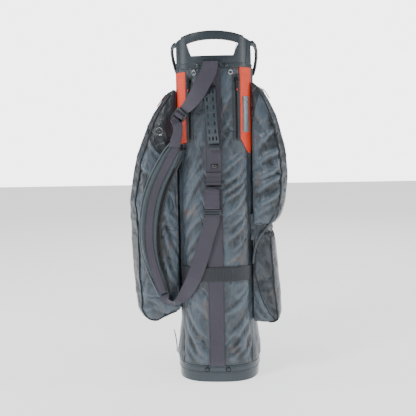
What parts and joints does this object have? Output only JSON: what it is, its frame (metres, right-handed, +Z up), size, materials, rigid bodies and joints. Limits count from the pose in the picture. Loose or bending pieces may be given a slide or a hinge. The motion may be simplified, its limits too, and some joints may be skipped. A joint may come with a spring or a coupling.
{
  "type": "golf cart bag",
  "caption": "Free-standing golf bag with a moulded collar and base, divided club tube, side and front zip pockets, and a swinging padded shoulder strap.",
  "frame": {"origin": "centre of the base's underside", "axes": "+Z up along the trunk, -Y towards the shoulder-strap side, +X to the right when facing that side"},
  "size_m": [0.4414, 0.3561, 0.952],
  "materials": {
    "moulded_plastic": "fine grained moulding, satin",
    "base_plastic": "moulded, satin",
    "grip_rubber": "soft overmould with ribs",
    "divider_plastic": "moulded, satin",
    "stay_rod": "glass-fibre rod",
    "bag_nylon": "coated nylon, soft sheen",
    "panel_lining": "plain woven lining",
    "dark_trim": "dark woven trim",
    "violet_webbing": "ribbed webbing",
    "accent_webbing": "bright webbing",
    "label_grey": "plain reflective label",
    "patch_black": "plain soft patch",
    "handle_tpu": "moulded soft handle",
    "screw_metal": "dark steel",
    "eyelet_metal": "bright plated",
    "slider_metal": "black painted zip hardware",
    "zip_tape": "zip tape",
    "pull_black": "moulded cord pull",
    "pull_red": "braided cord pull",
    "buckle_plastic": "acetal buckle",
    "pad_mesh": "spacer mesh over foam"
  },
  "bodies": {
    "bag": {"base_cup": "base_plastic", "base_band": "dark_trim", "base_rivets": "moulded_plastic", "stay_rods": "stay_rod", "trunk_shell": "bag_nylon", "divider_panels": "panel_lining", "top_collar": "moulded_plastic", "divider_top": "divider_plastic", "rear_handle": "moulded_plastic", "handle_grip": "grip_rubber", "side_rail_left": "moulded_plastic", "side_rail_right": "moulded_plastic", "collar_screws": "screw_metal", "hood_eyelets": "eyelet_metal", "spine_webbing": "violet_webbing", "cart_strap_band": "dark_trim", "grab_handle": "handle_tpu", "grab_handle_keeper": "dark_trim", "blank_patch": "patch_black", "accent_tape_left": "accent_webbing", "accent_tape_right": "accent_webbing", "accent_label": "label_grey", "rear_zip_tapes": "zip_tape", "left_pocket": "bag_nylon", "right_pocket": "bag_nylon", "right_low_pocket": "bag_nylon", "left_pocket_piping": "dark_trim", "right_pocket_piping": "dark_trim", "left_pocket_zip": "zip_tape", "right_pocket_zip": "zip_tape", "valuables_pocket": "bag_nylon", "cooler_pocket": "bag_nylon", "ball_pocket": "bag_nylon", "front_zip_tapes": "zip_tape", "strap_top_bar": "buckle_plastic", "strap_top_fold": "violet_webbing", "strap_link_web": "violet_webbing", "strap_lower_ring": "buckle_plastic", "umbrella_tab": "dark_trim"},
    "shoulder_strap": {"strap_upper_web": "violet_webbing", "strap_buckle": "buckle_plastic", "strap_web_tail": "violet_webbing", "strap_pad": "pad_mesh", "strap_pad_stripe": "violet_webbing", "strap_lower_web": "violet_webbing"},
    "tri_glide": {"tri_glide": "buckle_plastic"},
    "rear_zip_left_slider": {"rear_zip_slider_left": "slider_metal"},
    "rear_zip_left_pull": {"rear_zip_pull_left": "pull_black"},
    "rear_zip_right_slider": {"rear_zip_slider_right": "slider_metal"},
    "rear_zip_right_pull": {"rear_zip_pull_right": "pull_black"},
    "left_pocket_slider": {"left_pocket_slider": "slider_metal"},
    "left_pocket_pull": {"left_pocket_pull": "pull_red"},
    "right_pocket_slider": {"right_pocket_slider": "slider_metal"},
    "right_pocket_pull": {"right_pocket_pull": "pull_red"},
    "valuables_slider": {"valuables_slider": "slider_metal"},
    "valuables_pull": {"valuables_pull": "pull_red"},
    "cooler_slider": {"cooler_slider": "slider_metal"},
    "cooler_pull": {"cooler_pull": "pull_red"},
    "ball_slider": {"ball_slider": "slider_metal"},
    "ball_pull": {"ball_pull": "pull_red"}
  },
  "joints": [
    {"name": "shoulder_strap_swing", "type": "hinge", "parent": "bag", "child": "shoulder_strap", "pos_m": [0, -0.134, 0.6], "axis": [0, 0, 1], "range_deg": [0, 95]},
    {"name": "tri_glide_slide", "type": "slide", "parent": "bag", "child": "tri_glide", "axis": [0, 0, 1], "range_m": [-0.012, 0.05]},
    {"name": "rear_zip_left_slide", "type": "slide", "parent": "bag", "child": "rear_zip_left_slider", "axis": [0, 0, 1], "range_m": [-0.146, 0]},
    {"name": "rear_zip_left_pull_swing", "type": "hinge", "parent": "rear_zip_left_slider", "child": "rear_zip_left_pull", "pos_m": [-0.0647, -0.11617, 0.822], "axis": [-0.8987, 0.4385, 0], "range_deg": [0, 100]},
    {"name": "rear_zip_right_slide", "type": "slide", "parent": "bag", "child": "rear_zip_right_slider", "axis": [0, 0, 1], "range_m": [-0.146, 0]},
    {"name": "rear_zip_right_pull_swing", "type": "hinge", "parent": "rear_zip_right_slider", "child": "rear_zip_right_pull", "pos_m": [0.0647, -0.11617, 0.822], "axis": [-0.8987, -0.4385, 0], "range_deg": [0, 100]},
    {"name": "left_pocket_zip_travel", "type": "hinge", "parent": "bag", "child": "left_pocket_slider", "pos_m": [0.28104, -0.004, 0.467], "axis": [0, -1, 0], "range_deg": [0, 35.1]},
    {"name": "left_pocket_pull_swing", "type": "hinge", "parent": "left_pocket_slider", "child": "left_pocket_pull", "pos_m": [-0.13837, -0.004, 0.79077], "axis": [0, 1, 0], "range_deg": [0, 100]},
    {"name": "right_pocket_zip_travel", "type": "hinge", "parent": "bag", "child": "right_pocket_slider", "pos_m": [-0.23546, -0.004, 0.566], "axis": [0, 1, 0], "range_deg": [0, 42.9]},
    {"name": "right_pocket_pull_swing", "type": "hinge", "parent": "right_pocket_slider", "child": "right_pocket_pull", "pos_m": [0.13618, -0.004, 0.80016], "axis": [0, -1, 0], "range_deg": [0, 100]},
    {"name": "valuables_zip_slide", "type": "slide", "parent": "bag", "child": "valuables_slider", "axis": [1, 0, 0], "range_m": [0, 0.112]},
    {"name": "valuables_pull_swing", "type": "hinge", "parent": "valuables_slider", "child": "valuables_pull", "pos_m": [-0.056, 0.17, 0.734], "axis": [1, 0, 0], "range_deg": [0, 100]},
    {"name": "cooler_zip_slide", "type": "slide", "parent": "bag", "child": "cooler_slider", "axis": [1, 0, 0], "range_m": [0, 0.112]},
    {"name": "cooler_pull_swing", "type": "hinge", "parent": "cooler_slider", "child": "cooler_pull", "pos_m": [-0.056, 0.194, 0.52], "axis": [1, 0, 0], "range_deg": [0, 100]},
    {"name": "ball_zip_slide", "type": "slide", "parent": "bag", "child": "ball_slider", "axis": [1, 0, 0], "range_m": [0, 0.112]},
    {"name": "ball_pull_swing", "type": "hinge", "parent": "ball_slider", "child": "ball_pull", "pos_m": [-0.056, 0.21, 0.274], "axis": [1, 0, 0], "range_deg": [0, 100]}
  ]
}
